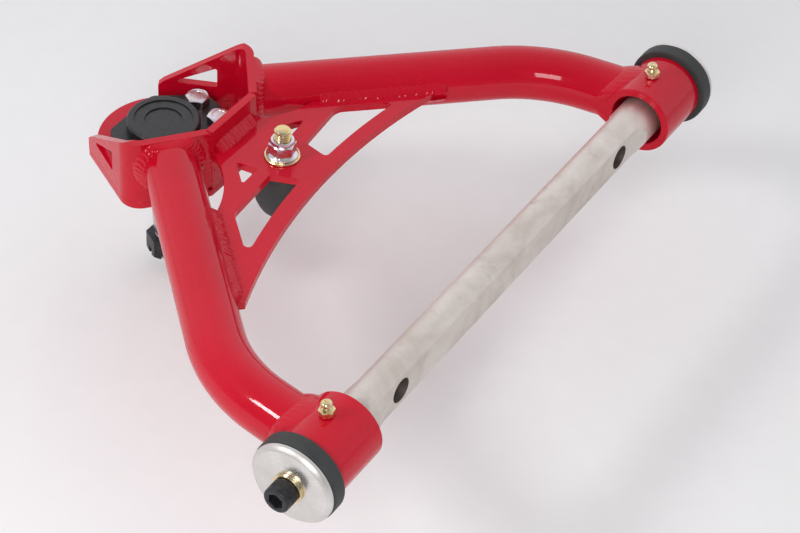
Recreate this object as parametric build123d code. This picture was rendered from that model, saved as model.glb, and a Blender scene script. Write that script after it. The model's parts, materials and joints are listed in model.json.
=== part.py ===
from build123d import *
import os
from math import sqrt

# Tubular upper control arm with its cross shaft, bump stop and ball joint, in millimetres.
# The origin is the middle of the cross shaft, on the axis that the arm swings about.
# +X points outboard to the ball joint, +Y along the shaft to the rear bushing, +Z up.

# ---- sheet, fits and fasteners ----
SHEET = 4.76            # 3/16 in plate of the gusset and of the ball joint box
TURN_FIT = 0.05         # radial clearance of the bushings and of the spinning stud
BALL_FIT = 0.10         # clearance between the ball and its seats
SEAT_GAP = 0.02         # clearance of parts that are pressed or screwed together

# ---- cross shaft ----
SHAFT_R = 12.7
SHAFT_HALF = 198.2      # end face, from the middle
FLAT_X = 8.5            # half the thickness across the two milled flats
FLAT_HALF = 128.0       # straight end of a flat, from the middle
FLAT_RUNOUT_R = 20.0    # cutter radius where a flat runs out
FRAME_BOLT_Y = 115.0    # frame bolt holes, from the middle
FRAME_BOLT_R = 7.15     # 9/16 in clearance hole
THRUST_R = 23.6
THRUST_T = 4.2
THRUST_BEVEL = 2.2      # on the washer's outer rim
LOCK_R = 8.6
LOCK_T = 2.4
SCREW_R = 4.76          # 3/8-16 cap screw
SCREW_HEAD_R = 7.3
SCREW_HEAD_H = 9.5
SCREW_SHANK = 34.0
SCREW_SOCKET_AF = 7.94

# ---- bushing sleeves at |Y| ----
SLEEVE_R = 20.65        # 1-5/8 in tube with a 3/16 in wall
SLEEVE_BORE_R = 15.9
SLEEVE_IN = 150.5
SLEEVE_OUT = 189.0
BUSHING_IN = 172.0      # the bushing stops well short of the sleeve's inner mouth
FLANGE_OUT = 198.0
FLANGE_R = 24.2
FITTING_Y = 168.0
FITTING_LEAN = 5.0      # degrees outboard of straight up
FITTING_R = 3.17        # 1/4-28 thread
FITTING_BASE = 15.5     # inner end of the fitting's stem, from the shaft axis

# ---- arm tubes: centre line in plan for the rear tube, the front one mirrors it ----
TUBE_R = 15.875         # 1-1/4 in tube
TUBE_WALL = 3.05
TUBE_START = (0.0, 170.0)
TUBE_BEND = (69.0, 160.0)
TUBE_END = (198.0, 36.1)    # just inside the box; the side wall trims it
TUBE_BEND_R = 92.0

# ---- ball joint box ----
FLOOR_Z = -24.5         # upper face of the ball joint plate
WALL_TOP_Z = 17.0
BOX_CORNER = (181.5, 22.0)  # the rear bracket in plan, at the middle of the sheet
BOX_BEND = (209.5, 57.5)
TAB_END = (256.5, 31.5)
BRACKET_BEND_R = 10.0   # at the middle of the sheet
TAB_END_Z = -13.5
BOX_BACK_X = 178.4      # outer face of the back wall
BACK_HALF = 21.0
JOINT_X = 229.0         # axis of the ball joint
PLATE_HOLE_R = 24.0
RING_R = 38.6
JOINT_BOLTS = [(-22.4, 23.9), (-1.5, 31.0)]     # from the joint's axis, mirrored in Y
JOINT_BOLT_HOLE_R = 4.3
JOINT_BOLT_R = 3.97     # 5/16-18
JOINT_BOLT_AF = 12.7

# ---- gusset in plan: the rear half's value first, then the front half's ----
EDGE_R = 362.0                  # curved inboard edge, a little askew to the arm's middle
EDGE_TOP = (116.4, -20.0)       # where that edge reaches farthest outboard
TIPS = (110.5, -103.5)          # where the curved edge ends beside each tube
RIBS = (10.1, 8.8)              # width between the curved edge and the windows
WINDOWS = ([10.6, (141.6, 17.2), (138.8, 55.7), 80.0], [-14.2, (142.2, -17.6), (146.0, -55.7), -79.6])
WINDOW_TIP_R = (2.7, 1.9)
TRIANGLES = ([(163.2, 19.4), (150.0, 17.6), (149.4, 33.2)], [(164.0, -16.5), (152.0, -17.8), (153.8, -35.0)])
NOTCHES = ([(174.0, 23.0), (155.5, 42.0), (146.5, 62.5)], [(174.0, -21.5), (164.2, -37.0), (159.0, -54.5)])

# ---- bump stop ----
STOP_X = 145.5
STOP_R = 17.0
STOP_NOSE_R = 11.0
STOP_LENGTH = 33.5
STUD_R = 4.76           # 3/8-16
STUD_TOP = 22.0
STOP_WASHER_R = 10.4
STOP_WASHER_T = 1.6
STOP_NUT_AF = 14.3
STOP_NUT_H = 11.4

# ---- ball joint, heights measured from the ball's centre ----
BALL_R = 15.0
BALL_Z = FLOOR_Z - 1.3
JOINT_FLANGE_T = 7.0
BODY_R = 23.2
BODY_BOTTOM = -11.4
SPIGOT_R = 19.0
SPIGOT_BOTTOM = -14.9
BOSS_R = 21.5
BOSS_TOP = 15.6
CAVITY_R = 17.0
COVER_R = 18.45
COVER_BOTTOM = 12.3
COVER_T = 2.5
HEAD_TOP = 7.0
SPLIT_Z = 1.0           # the stud's head rests on the half ball here
SEAT_LOW = -7.3         # lower end of the spherical seat
MOUTH_R = 16.7          # radius of the opening at the spigot's end
SHANK_R = 8.75
SHANK_END = -41.0       # start of the taper
TAPER_END = -69.0
TAPER_R = 7.05
THREAD_R = 6.35         # 1/2-20
STUD_BOTTOM = -89.2
NUT_TOP = -72.2
NUT_H = 14.0
CASTLE_AF = 20.6


def along_y(solid):
    """Turn a solid made along +Z so that it lies along +Y."""
    return Rot(-90, 0, 0) * solid


def tube_ring(outer, inner, length):
    """A plain tube from 0 to length along +Z."""
    align = (Align.CENTER, Align.CENTER, Align.MIN)
    return Cylinder(outer, length, align=align) - Cylinder(inner, length, align=align)


def disc(radius, bottom, top):
    """A cylinder along Z between two heights."""
    align = (Align.CENTER, Align.CENTER, Align.MIN)
    return Pos(0, 0, bottom) * Cylinder(radius, top - bottom, align=align)


def hex_bar(across_flats, bottom, top, turn=0):
    """A hexagonal bar along Z between two heights."""
    outline = RegularPolygon(across_flats / sqrt(3), 6, rotation=turn)
    return Pos(0, 0, bottom) * extrude(outline, top - bottom)


def turned(points):
    """A solid of revolution about Z from (radius, height) points."""
    return revolve(make_face(Polyline(*[(r, 0, z) for r, z in points], close=True)), Axis.Z)


def front(solid):
    """The front twin of a rear part."""
    return mirror(solid, Plane.XZ)


# ------------------------------------------------------------------ cross shaft
def cross_shaft():
    bar = along_y(Cylinder(SHAFT_R, 2 * SHAFT_HALF))
    bar = chamfer(bar.edges().filter_by(GeomType.CIRCLE), 0.8)
    slab = Pos(FLAT_X + 10, 0, 0) * Box(20, 2 * FLAT_HALF, 60)
    runout = Pos(FLAT_X + FLAT_RUNOUT_R, FLAT_HALF, 0) * Cylinder(FLAT_RUNOUT_R, 60)
    cutter = slab + runout + front(runout)
    bar = bar - cutter - mirror(cutter, Plane.YZ)
    for side in (-1, 1):
        bar -= Pos(0, side * FRAME_BOLT_Y, 0) * Rot(0, 90, 0) * Cylinder(FRAME_BOLT_R, 40)
        tapped = Pos(0, side * (SHAFT_HALF - 19), 0) * along_y(Cylinder(SCREW_R + SEAT_GAP, 40))
        bar -= tapped
    return bar


def thrust_washer():
    washer = tube_ring(THRUST_R, SCREW_R + 0.4, THRUST_T)
    rim = washer.edges().filter_by(GeomType.CIRCLE).sort_by(SortBy.RADIUS)[-2:].sort_by(Axis.Z)[-1]
    washer = chamfer(rim, THRUST_BEVEL)
    return Pos(0, SHAFT_HALF, 0) * along_y(washer)


def lock_washer():
    ring = tube_ring(LOCK_R, SCREW_R + 0.25, LOCK_T)
    split = Pos(LOCK_R, 0, LOCK_T / 2) * Rot(25, 0, 0) * Box(LOCK_R * 1.6, 1.2, 4 * LOCK_T)
    return Pos(0, SHAFT_HALF + THRUST_T, 0) * along_y(ring - split)


def cap_screw():
    head = disc(SCREW_HEAD_R, 0, SCREW_HEAD_H)
    head = chamfer(head.edges().filter_by(GeomType.CIRCLE).sort_by(Axis.Z)[-1], 0.8)
    head -= hex_bar(SCREW_SOCKET_AF, SCREW_HEAD_H - 6, SCREW_HEAD_H + 1)
    shank = disc(SCREW_R, -SCREW_SHANK, 0)
    shank = chamfer(shank.edges().filter_by(GeomType.CIRCLE).sort_by(Axis.Z)[0], 1.0)
    return Pos(0, SHAFT_HALF + THRUST_T + LOCK_T, 0) * along_y(head + shank)


# ------------------------------------------------------------------ bushing ends
def lean(solid):
    """Stand a part made along +Z at the grease fitting's place on the rear sleeve."""
    return Pos(0, FITTING_Y, 0) * Rot(0, FITTING_LEAN, 0) * solid


def bushing_sleeve():
    sleeve = Pos(0, SLEEVE_IN, 0) * along_y(tube_ring(SLEEVE_R, SLEEVE_BORE_R, SLEEVE_OUT - SLEEVE_IN))
    sleeve = chamfer(sleeve.edges().filter_by(GeomType.CIRCLE), 0.5)
    return sleeve - lean(disc(FITTING_R + SEAT_GAP, 0, 40))


def bushing():
    barrel = tube_ring(SLEEVE_BORE_R - SEAT_GAP, SHAFT_R + TURN_FIT, SLEEVE_OUT - BUSHING_IN)
    flange = tube_ring(FLANGE_R, SHAFT_R + TURN_FIT, FLANGE_OUT - SLEEVE_OUT)
    rim = flange.edges().filter_by(GeomType.CIRCLE).sort_by(SortBy.RADIUS)[-2:]
    flange = chamfer(rim, 0.6)
    part = along_y(Pos(0, 0, BUSHING_IN) * barrel + Pos(0, 0, SLEEVE_OUT) * flange)
    return part - lean(disc(FITTING_R + SEAT_GAP, 0, 40))


def grease_fitting():
    stem = disc(FITTING_R, FITTING_BASE, SLEEVE_R + 1)
    nut = hex_bar(7.9, SLEEVE_R + 0.6, SLEEVE_R + 3.8, turn=10)
    neck = turned([(0, 23), (3.0, 23), (3.0, 25.2), (2.2, 26.0), (2.2, 26.5), (3.1, 27.4), (3.1, 28.3),
                   (1.8, 29.5), (0, 29.5)])
    return lean(stem + nut + neck - disc(0.9, FITTING_BASE - 1, 31))


# ------------------------------------------------------------------ tubes and box
def unit(start, end):
    """Unit direction in plan from one point to another."""
    run = Vector(*end) - Vector(*start)
    return run.normalized()


WALL_DIR = unit(BOX_CORNER, BOX_BEND)               # along the side wall, outboard
WALL_OUT = Vector(-WALL_DIR.Y, WALL_DIR.X)          # square to it, towards the tube
TAB_DIR = unit(BOX_BEND, TAB_END)
TAB_OUT = Vector(-TAB_DIR.Y, TAB_DIR.X)             # square to the tab, away from the joint


def swept_round(radius):
    """The rear tube's run as a solid bar of the given radius."""
    path = FilletPolyline(TUBE_START, TUBE_BEND, TUBE_END, radius=TUBE_BEND_R)
    return sweep(Plane(path @ 0, z_dir=path % 0) * Circle(radius), path)


def box_inside():
    """All that lies inside the outer face of the rear side wall, near the tube's end."""
    face = Vector(*BOX_CORNER) + WALL_DIR * 20 + WALL_OUT * (SHEET / 2)
    block = Box(80, 80, 40, align=(Align.CENTER, Align.CENTER, Align.MIN))
    return Plane(face, x_dir=(0, 0, 1), z_dir=WALL_OUT * -1) * block


def arm_tube():
    sleeve = Pos(0, TUBE_START[1], 0) * along_y(Cylinder(SLEEVE_R, 80))
    return swept_round(TUBE_R) - swept_round(TUBE_R - TUBE_WALL) - sleeve - box_inside()


def side_bracket():
    """Bent plate: the wall that the tube is welded to, and the tab beside the ball joint."""
    height = WALL_TOP_Z - FLOOR_Z
    path = FilletPolyline(BOX_CORNER, BOX_BEND, TAB_END, radius=BRACKET_BEND_R)
    section = Plane(path @ 0, x_dir=(0, 0, 1), z_dir=path % 0) * Rectangle(height, SHEET)
    plate = Pos(0, 0, (WALL_TOP_Z + FLOOR_Z) / 2) * sweep(section, path)
    length = (Vector(*TAB_END) - Vector(*BOX_BEND)).length
    face = Plane(Vector(*BOX_BEND), x_dir=TAB_DIR, z_dir=TAB_OUT * -1)      # its Y runs straight up
    slant = Polyline((3, WALL_TOP_Z), (length - 3, TAB_END_Z), (length + 1, TAB_END_Z - 4),
                     (length + 9, TAB_END_Z - 4), (length + 9, 30), (3, 30), close=True)
    window = Polyline((18.5, -0.8), (45.5, -13.2), (18.5, -14.6), close=True)
    hole = make_face(window)
    hole = fillet(hole.vertices(), 1.2)
    plate -= extrude(face * make_face(slant), 12, both=True)
    return plate - extrude(face * hole, 12, both=True)


def back_wall(brackets):
    middle = (WALL_TOP_Z + FLOOR_Z) / 2
    wall = Pos(BOX_BACK_X + SHEET / 2, 0, middle) * Box(SHEET, 2 * BACK_HALF, WALL_TOP_Z - FLOOR_Z)
    for bracket in brackets:
        wall -= bracket
    return wall


def joint_bolt_places():
    """The four places of the ball joint bolts in plan."""
    return [(JOINT_X + x, side * y) for x, y in JOINT_BOLTS for side in (-1, 1)]


def ball_joint_plate():
    out = SHEET / 2
    corner = Vector(*BOX_CORNER) + WALL_OUT * out
    bend = Vector(*BOX_BEND) + (TAB_OUT + WALL_OUT) * (out / (1 + TAB_OUT.dot(WALL_OUT)))
    end_out = Vector(*TAB_END) + TAB_OUT * out
    end_in = Vector(*TAB_END) - TAB_OUT * out
    half = [(BOX_BACK_X, BACK_HALF), (corner.X, corner.Y), (bend.X, bend.Y), (end_out.X, end_out.Y),
            (end_in.X, end_in.Y)]
    other = [(x, -y) for x, y in reversed(half)]
    outline = make_face(Polyline(*half, *other, close=True))
    bends = [v for v in outline.vertices() if abs(v.X - bend.X) < 0.01]
    outline = fillet(bends, BRACKET_BEND_R + out)
    outline += Pos(JOINT_X, 0) * Circle(RING_R)
    outline -= Pos(JOINT_X, 0) * Circle(PLATE_HOLE_R)
    for x, y in joint_bolt_places():
        outline -= Pos(x, y) * Circle(JOINT_BOLT_HOLE_R)
    return Pos(0, 0, FLOOR_Z - SHEET) * extrude(outline, SHEET)


# ------------------------------------------------------------------ gusset
def edge_at(offset, y):
    """Point at a given Y on the curved inboard edge, or on a curve offset outboard from it."""
    middle_x, middle_y = EDGE_TOP
    return middle_x - EDGE_R + sqrt((EDGE_R + offset) ** 2 - (y - middle_y) ** 2), y


def edge_arc(offset, start_y, end_y):
    return ThreePointArc(*[edge_at(offset, y) for y in (start_y, (start_y + end_y) / 2, end_y)])


def half_outline(notch, tip_y):
    """One half, closed along the X axis and run into the tube between the notch and the tip."""
    side = 1 if tip_y > 0 else -1
    start, middle, end = notch
    wall, corner, tip = (BOX_BACK_X, 0), (BOX_BACK_X, start[1] - 0.8 * side), edge_at(0, tip_y)
    inside_tube = [(x + 6, y + 6 * side) for x, y in (end, tip)]
    edges = [Line(wall, corner), Line(corner, start), ThreePointArc(start, middle, end),
             Polyline(end, *inside_tube, tip), edge_arc(0, tip_y, 0), Line(edge_at(0, 0), wall)]
    return make_face(Wire([edge for item in edges for edge in item.edges()]))


def window(rib, sides, tip_r):
    """Long window with its inboard side parallel to the plate's curved edge."""
    near_y, corner, elbow, far_y = sides
    start, end = edge_at(rib, near_y), edge_at(rib, far_y)
    outline = Polyline(start, corner, elbow, end).edges() + edge_arc(rib, far_y, near_y).edges()
    opening = make_face(Wire(outline))
    for place, radius in ((start, 2.5), (corner, 1.2), (elbow, 11.0), (end, tip_r)):
        opening = fillet(opening.vertices().sort_by_distance(place)[0], radius)
    return opening


def triangle(corners):
    opening = make_face(Polyline(*corners, close=True))
    return fillet(opening.vertices(), 1.0)


def gusset_plate(neighbours):
    outline = half_outline(NOTCHES[0], TIPS[0]) + half_outline(NOTCHES[1], TIPS[1])
    for rib, sides, tip_r, corners in zip(RIBS, WINDOWS, WINDOW_TIP_R, TRIANGLES):
        outline -= window(rib, sides, tip_r) + triangle(corners)
    outline -= Pos(STOP_X, 0) * Circle(STUD_R + 0.3)
    plate = Pos(0, 0, -SHEET / 2) * extrude(outline, SHEET)
    for solid in neighbours:
        plate -= solid
    return plate


# ------------------------------------------------------------------ bump stop
def bump_stop():
    """Moulded cone with a rounded shoulder and nose, hanging under the gusset."""
    top, low = -SHEET / 2, -SHEET / 2 - STOP_LENGTH
    outline = [Line((0, top), (STOP_R - 1.5, top)), Line((STOP_R - 1.5, top), (STOP_R, top - 4)),
               Line((STOP_R, top - 4), (STOP_R, top - 15)),
               ThreePointArc((STOP_R, top - 15), (STOP_R - 2.3, low + 7.2), (STOP_NOSE_R, low)),
               Line((STOP_NOSE_R, low), (0, low)), Line((0, low), (0, top))]
    profile = Plane.XZ * make_face(Wire([item.edge() for item in outline]))
    rubber = revolve(profile, Axis.Z)
    return Pos(STOP_X, 0, 0) * (rubber - bump_stop_stud_bar(SEAT_GAP))


def bump_stop_stud_bar(grow=0.0):
    """The stud with the plate that is moulded into the rubber."""
    stud = disc(STUD_R + grow, -14 - grow, STUD_TOP)
    return stud + disc(11 + grow, -12 - grow, -9.5 + grow)


def bump_stop_stud():
    stud = bump_stop_stud_bar()
    stud = chamfer(stud.edges().filter_by(GeomType.CIRCLE).sort_by(Axis.Z)[-1], 0.9)
    return Pos(STOP_X, 0, 0) * stud


def bump_stop_washer():
    washer = tube_ring(STOP_WASHER_R, STUD_R + 0.3, STOP_WASHER_T)
    return Pos(STOP_X, 0, SHEET / 2) * washer


def bump_stop_nut():
    foot = SHEET / 2 + STOP_WASHER_T
    hexagon = hex_bar(STOP_NUT_AF, 0, STOP_NUT_H - 2.8, turn=15)
    flange = turned([(0, 0), (9.2, 0), (9.2, 1.0), (7.6, 2.6), (0, 2.6)])
    collar = turned([(0, 8), (7.0, 8), (7.0, STOP_NUT_H - 1.2), (6.0, STOP_NUT_H), (0, STOP_NUT_H)])
    nut = hexagon + flange + collar - disc(STUD_R + SEAT_GAP, -1, 30)
    return Pos(STOP_X, 0, foot) * nut


# ------------------------------------------------------------------ ball joint
def at_joint(solid):
    """Place a part whose origin is the ball's centre."""
    return Pos(JOINT_X, 0, BALL_Z) * solid


def slab_of_ball(radius, low, high):
    """The part of a ball that lies between two heights."""
    box = Pos(0, 0, (low + high) / 2) * Box(4 * radius, 4 * radius, high - low)
    return Sphere(radius) & box


def ball_joint_housing():
    foot = FLOOR_Z - BALL_Z
    rear = [(-31.0, 29.5), (-2.0, 40.5), (24.0, 20.0)]
    outline = make_face(Polyline(*rear, *[(x, -y) for x, y in reversed(rear)], close=True))
    outline = fillet(outline.vertices(), 6.0)
    for x, y in joint_bolt_places():
        outline -= Pos(x - JOINT_X, y) * Circle(JOINT_BOLT_HOLE_R)
    flange = Pos(0, 0, foot) * extrude(outline, JOINT_FLANGE_T)
    body = disc(BODY_R, BODY_BOTTOM, foot) + disc(BODY_R, foot, foot + JOINT_FLANGE_T)
    boss = disc(BOSS_R, foot + JOINT_FLANGE_T, BOSS_TOP)
    boss = fillet(boss.edges().filter_by(GeomType.CIRCLE).sort_by(Axis.Z)[-1], 1.5)
    housing = flange + body + boss + disc(SPIGOT_R, SPIGOT_BOTTOM, BODY_BOTTOM)
    seat = BALL_R + BALL_FIT
    opening = turned([(0, SPIGOT_BOTTOM - 1), (MOUTH_R + 0.4, SPIGOT_BOTTOM - 1), (13.1, SEAT_LOW),
                      (13.1, 0), (0, 0)])
    housing = housing - opening - slab_of_ball(seat, SEAT_LOW, 0.01)
    housing = housing - disc(seat, 0, 3) - disc(CAVITY_R, 3, COVER_BOTTOM)
    return housing - disc(COVER_R + BALL_FIT, COVER_BOTTOM, COVER_BOTTOM + COVER_T) - disc(17.2, 12, 20)


def half_ball():
    return slab_of_ball(BALL_R, -9, SPLIT_Z - TURN_FIT) - disc(SHANK_R + TURN_FIT, -20, 20)


def ball_pressure_plate():
    plate = disc(CAVITY_R - BALL_FIT, 4, 9.4)
    return plate - Sphere(BALL_R + BALL_FIT)


def preload_spring():
    return turned([(16.6, 9.4), (16.6, 10.3), (12.3, COVER_BOTTOM), (12.3, COVER_BOTTOM - 0.9)])


def ball_joint_cover():
    cover = disc(COVER_R, COVER_BOTTOM, COVER_BOTTOM + COVER_T)
    return cover - disc(11.0, COVER_BOTTOM + COVER_T - 0.8, 20)


def ball_stud():
    head = slab_of_ball(BALL_R, SPLIT_Z, HEAD_TOP)
    shank = disc(SHANK_R, SHANK_END, SPLIT_Z)
    relief_low = TAPER_END - 3.0
    lower = turned([(0, SHANK_END), (SHANK_R, SHANK_END), (TAPER_R, TAPER_END), (THREAD_R - 0.6, TAPER_END - 0.6),
                    (THREAD_R - 0.6, relief_low), (THREAD_R, relief_low - 0.6), (THREAD_R, STUD_BOTTOM + 1.2),
                    (THREAD_R - 1.2, STUD_BOTTOM), (0, STUD_BOTTOM)])
    stud = head + shank + lower
    cotter_hole = Pos(0, 0, NUT_TOP - NUT_H + 2.6) * Rot(90, 0, 0) * Cylinder(1.6, 40)
    centre_mark = turned([(0, STUD_BOTTOM - 0.1), (2.0, STUD_BOTTOM - 0.1), (0, STUD_BOTTOM + 2.0)])
    return stud - cotter_hole - centre_mark


def castle_nut():
    bottom = NUT_TOP - NUT_H
    nut = hex_bar(CASTLE_AF, bottom, NUT_TOP, turn=30)
    round_off = turned([(0, bottom), (CASTLE_AF / 2 - 0.6, bottom), (CASTLE_AF / 2 + 1.9, bottom + 2.4),
                        (CASTLE_AF / 2 + 1.9, NUT_TOP), (0, NUT_TOP)])
    nut = nut & round_off
    nut -= disc(THREAD_R + SEAT_GAP, bottom - 1, NUT_TOP + 1)
    for turn in (30, 90, 150):
        nut -= Pos(0, 0, bottom) * Rot(0, 0, turn) * Box(3.4, 40, 11)
    return nut


def dust_boot():
    """Two-fold bellows from the housing's spigot to a lip around the stud."""
    outside = [(22.0, -11.6), (22.0, -13.6), (24.8, -17.0), (24.8, -19.2), (18.6, -23.0), (25.3, -28.2),
               (25.3, -31.4), (15.2, -37.8), (14.7, -40.2), (8.85, -40.2)]
    inside = [(8.85, -37.6), (13.4, -37.2), (13.4, -36.0), (22.9, -30.4), (22.9, -29.0), (16.2, -23.0),
              (22.6, -18.6), (22.6, -17.4), (19.05, -14.9), (19.05, -11.6)]
    return turned(outside + inside)


def boot_clip():
    wire = Plane.XZ * Pos(22.0 + 0.75, -12.7) * Circle(0.7)
    return revolve(wire, Axis.Z)


def joint_bolts():
    foot = FLOOR_Z - SHEET - 9.5
    top = FLOOR_Z + JOINT_FLANGE_T
    bolt = disc(JOINT_BOLT_R, foot, top) + hex_bar(JOINT_BOLT_AF, top, top + 5.2, turn=30)
    bolt = chamfer(bolt.edges().filter_by(GeomType.CIRCLE).sort_by(Axis.Z)[0], 0.8)
    return Compound([Pos(x, y, 0) * bolt for x, y in joint_bolt_places()])


def joint_nuts():
    """Each nut has a flat turned towards the housing, which it only just clears."""
    top = FLOOR_Z - SHEET
    nuts = []
    for x, y in joint_bolt_places():
        turn = Vector(1, 0).get_signed_angle(Vector(x - JOINT_X, y))
        nut = hex_bar(JOINT_BOLT_AF, top - 6.8, top, turn=turn + 30)
        nuts.append(Pos(x, y, 0) * (nut - disc(JOINT_BOLT_R + SEAT_GAP, top - 10, top + 1)))
    return Compound(nuts)


def build():
    """Every piece by its node's name."""
    outer_tube = swept_round(TUBE_R)
    bracket = side_bracket()
    wall = back_wall([bracket, front(bracket)])
    pairs = {"thrust_washer": thrust_washer(), "lock_washer": lock_washer(), "cap_screw": cap_screw(),
             "bushing_sleeve": bushing_sleeve(), "bushing": bushing(), "grease_fitting": grease_fitting(),
             "arm_tube": arm_tube(), "side_bracket": bracket}
    parts = {"cross_shaft": cross_shaft(), "back_wall": wall, "ball_joint_plate": ball_joint_plate(),
             "gusset_plate": gusset_plate([outer_tube, front(outer_tube), bracket, front(bracket), wall]),
             "bump_stop": bump_stop(), "bump_stop_stud": bump_stop_stud(),
             "bump_stop_washer": bump_stop_washer(), "bump_stop_nut": bump_stop_nut(),
             "ball_joint_bolts": joint_bolts(), "ball_joint_nuts": joint_nuts()}
    joint = {"ball_joint_housing": ball_joint_housing(), "half_ball": half_ball(),
             "ball_pressure_plate": ball_pressure_plate(), "preload_spring": preload_spring(),
             "ball_joint_cover": ball_joint_cover(), "ball_stud": ball_stud(), "castle_nut": castle_nut(),
             "dust_boot": dust_boot(), "boot_clip": boot_clip()}
    for name, solid in pairs.items():
        parts["rear_" + name] = solid
        parts["front_" + name] = front(solid)
    for name, solid in joint.items():
        parts[name] = at_joint(solid)
    return parts


os.makedirs("parts", exist_ok=True)
for node, shape in build().items():
    export_step(shape, f"parts/{node}.step")
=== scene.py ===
import json
from math import asin, atan2, cos, degrees, pi, radians, sin, sqrt, tan

import bmesh
import bpy
from mathutils import Matrix, Vector

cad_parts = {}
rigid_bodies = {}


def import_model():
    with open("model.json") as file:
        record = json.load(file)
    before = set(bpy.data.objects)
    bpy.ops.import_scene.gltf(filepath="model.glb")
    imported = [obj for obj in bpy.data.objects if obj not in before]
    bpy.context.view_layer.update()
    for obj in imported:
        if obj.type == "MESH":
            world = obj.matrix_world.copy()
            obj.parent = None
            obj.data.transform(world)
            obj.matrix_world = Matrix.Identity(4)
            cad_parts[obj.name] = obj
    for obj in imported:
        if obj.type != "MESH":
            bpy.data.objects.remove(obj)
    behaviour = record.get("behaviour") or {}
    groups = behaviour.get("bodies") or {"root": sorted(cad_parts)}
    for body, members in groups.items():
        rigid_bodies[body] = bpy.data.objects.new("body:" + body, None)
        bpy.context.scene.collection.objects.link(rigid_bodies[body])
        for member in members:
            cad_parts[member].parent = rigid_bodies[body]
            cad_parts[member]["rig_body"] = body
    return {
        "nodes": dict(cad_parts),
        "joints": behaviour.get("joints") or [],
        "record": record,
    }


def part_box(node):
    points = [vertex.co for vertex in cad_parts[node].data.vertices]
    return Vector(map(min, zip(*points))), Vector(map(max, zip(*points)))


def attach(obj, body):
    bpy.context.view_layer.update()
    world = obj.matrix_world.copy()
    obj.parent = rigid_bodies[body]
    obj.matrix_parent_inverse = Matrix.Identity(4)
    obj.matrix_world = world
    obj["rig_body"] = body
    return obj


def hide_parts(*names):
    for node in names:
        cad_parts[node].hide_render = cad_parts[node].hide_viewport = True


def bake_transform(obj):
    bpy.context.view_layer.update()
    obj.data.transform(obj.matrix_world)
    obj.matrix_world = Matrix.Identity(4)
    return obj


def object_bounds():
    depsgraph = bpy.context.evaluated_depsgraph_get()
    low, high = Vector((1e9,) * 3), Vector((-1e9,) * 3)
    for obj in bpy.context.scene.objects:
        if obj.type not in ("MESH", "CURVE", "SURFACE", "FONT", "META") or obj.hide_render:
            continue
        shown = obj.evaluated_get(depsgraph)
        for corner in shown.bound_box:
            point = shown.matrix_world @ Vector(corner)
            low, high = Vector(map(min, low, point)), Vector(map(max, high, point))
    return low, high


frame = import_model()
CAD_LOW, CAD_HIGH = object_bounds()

# The control arm in metres, in the frame of the CAD model.
MM = 0.001
NODES = frame["nodes"]

# ------------------------------------------------------------------ dimensions that the pieces share
SHEET = 4.76
TUBE_R = 15.875
TUBE_START = Vector((0, 170, 0))
TUBE_BEND = Vector((69, 160, 0))
TUBE_DIR = Vector((129, -123.9, 0)).normalized()       # the tube's straight run, outboard
TUBE_END = Vector((198, 36.1, 0))
SLEEVE_R = 20.65
SLEEVE_IN, SLEEVE_OUT = 150.5, 189.0
BOX_CORNER = Vector((181.5, 22, 0))
WALL_DIR = Vector((28, 35.5, 0)).normalized()
WALL_OUT = Vector((-WALL_DIR.y, WALL_DIR.x, 0))
WALL_STRAIGHT = 36.7        # length of the side wall before its bend
WALL_BEND_R = 12.4
BACK_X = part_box("back_wall")[0].x / MM
FLOOR_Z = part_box("ball_joint_plate")[1].z / MM
WALL_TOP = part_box("back_wall")[1].z / MM
GUSSET_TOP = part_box("gusset_plate")[1].z / MM
STOP_X = (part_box("bump_stop")[0].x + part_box("bump_stop")[1].x) / 2 / MM
BALL = Vector(next(j for j in frame["joints"] if j["name"] == "ball_tilt")["pos_m"]) / MM
JOINT_BOLTS = ((-22.4, 23.9), (-1.5, 31.0))     # flange bolts on the rear side, from the ball
FRAME_BOLT_Y, FRAME_BOLT_R = 115.0, 7.15        # holes through the cross shaft
WASHER_FACE_R = 21.3                            # the thrust washer's flat face, inside its rounded rim
SOFT_EDGE = 38                                  # degrees; edges sharper than this are rounded over


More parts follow.
